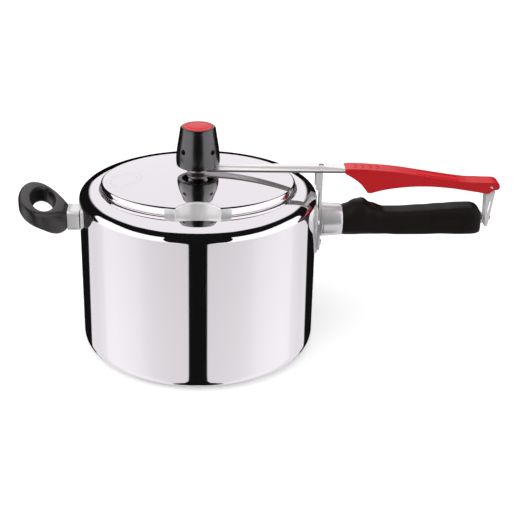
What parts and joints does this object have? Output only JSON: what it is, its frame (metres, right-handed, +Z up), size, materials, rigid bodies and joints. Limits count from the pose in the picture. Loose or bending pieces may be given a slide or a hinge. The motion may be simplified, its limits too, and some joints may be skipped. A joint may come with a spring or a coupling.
{
  "type": "stovetop pressure cooker",
  "caption": "Polished pot with an oval inner lid that a long hinged lever pulls up from inside, a lift-off weight on the vent, a long black handle and a small loop handle.",
  "frame": {"origin": "centre of the pot's base, on the surface it stands on", "axes": "+X towards the long handle, +Z up, -Y towards the lid's safety notch"},
  "size_m": [0.4235, 0.21, 0.2042],
  "materials": {
    "polished_body": "mirror-polished aluminium",
    "polished_lid": "mirror-polished aluminium",
    "steel_sheet": "satin",
    "bar_steel": "bright polished strip",
    "ferrule_steel": "bright",
    "rivet_steel": "bright",
    "vent_metal": "turned",
    "black_plastic": "satin bakelite",
    "knob_plastic": "polished bakelite",
    "red_plastic": "satin",
    "seal_rubber": "silicone",
    "plug_rubber": "silicone"
  },
  "bodies": {
    "pot": {"pot_body": "polished_body", "wall_plate": "steel_sheet", "fulcrum_post": "steel_sheet", "wall_rivets": "rivet_steel", "handle_ferrule": "ferrule_steel", "lower_handle": "black_plastic", "handle_tie_rod": "rivet_steel", "latch_stud": "rivet_steel", "loop_bracket": "steel_sheet", "loop_rivets": "rivet_steel", "loop_handle": "black_plastic", "loop_screw": "rivet_steel"},
    "lever": {"lever_bar": "bar_steel", "upper_handle": "red_plastic", "handle_screws": "rivet_steel", "latch_pin": "rivet_steel"},
    "latch": {"latch_link": "bar_steel"},
    "lid": {"lid": "polished_lid", "gasket": "seal_rubber", "vent_tube": "vent_metal", "vent_washer": "seal_rubber", "vent_collar": "vent_metal", "bar_nut": "vent_metal", "safety_plug": "plug_rubber"},
    "weight": {"weight_shell": "knob_plastic", "weight_core": "vent_metal", "weight_cap": "red_plastic"}
  },
  "joints": [
    {"name": "lever_tilt", "type": "hinge", "parent": "pot", "child": "lever", "pos_m": [0.1082, 0, 0.16575], "axis": [0, -1, 0], "range_deg": [0, 5]},
    {"name": "latch_swing", "type": "hinge", "parent": "lever", "child": "latch", "pos_m": [0.2572, 0, 0.149], "axis": [0, -1, 0], "range_deg": [0, 60]},
    {"name": "lid_level", "type": "hinge", "parent": "lever", "child": "lid", "pos_m": [0, 0, 0.16465], "axis": [0, 1, 0], "range_deg": [0, 5]},
    {"name": "weight_lift", "type": "slide", "parent": "lid", "child": "weight", "axis": [0, 0, 1], "range_m": [0, 0.03]}
  ],
  "couplings": [
    {"joint": "latch_swing", "follows": "lever_tilt", "ratio": 12},
    {"joint": "lid_level", "follows": "lever_tilt", "ratio": 1}
  ]
}
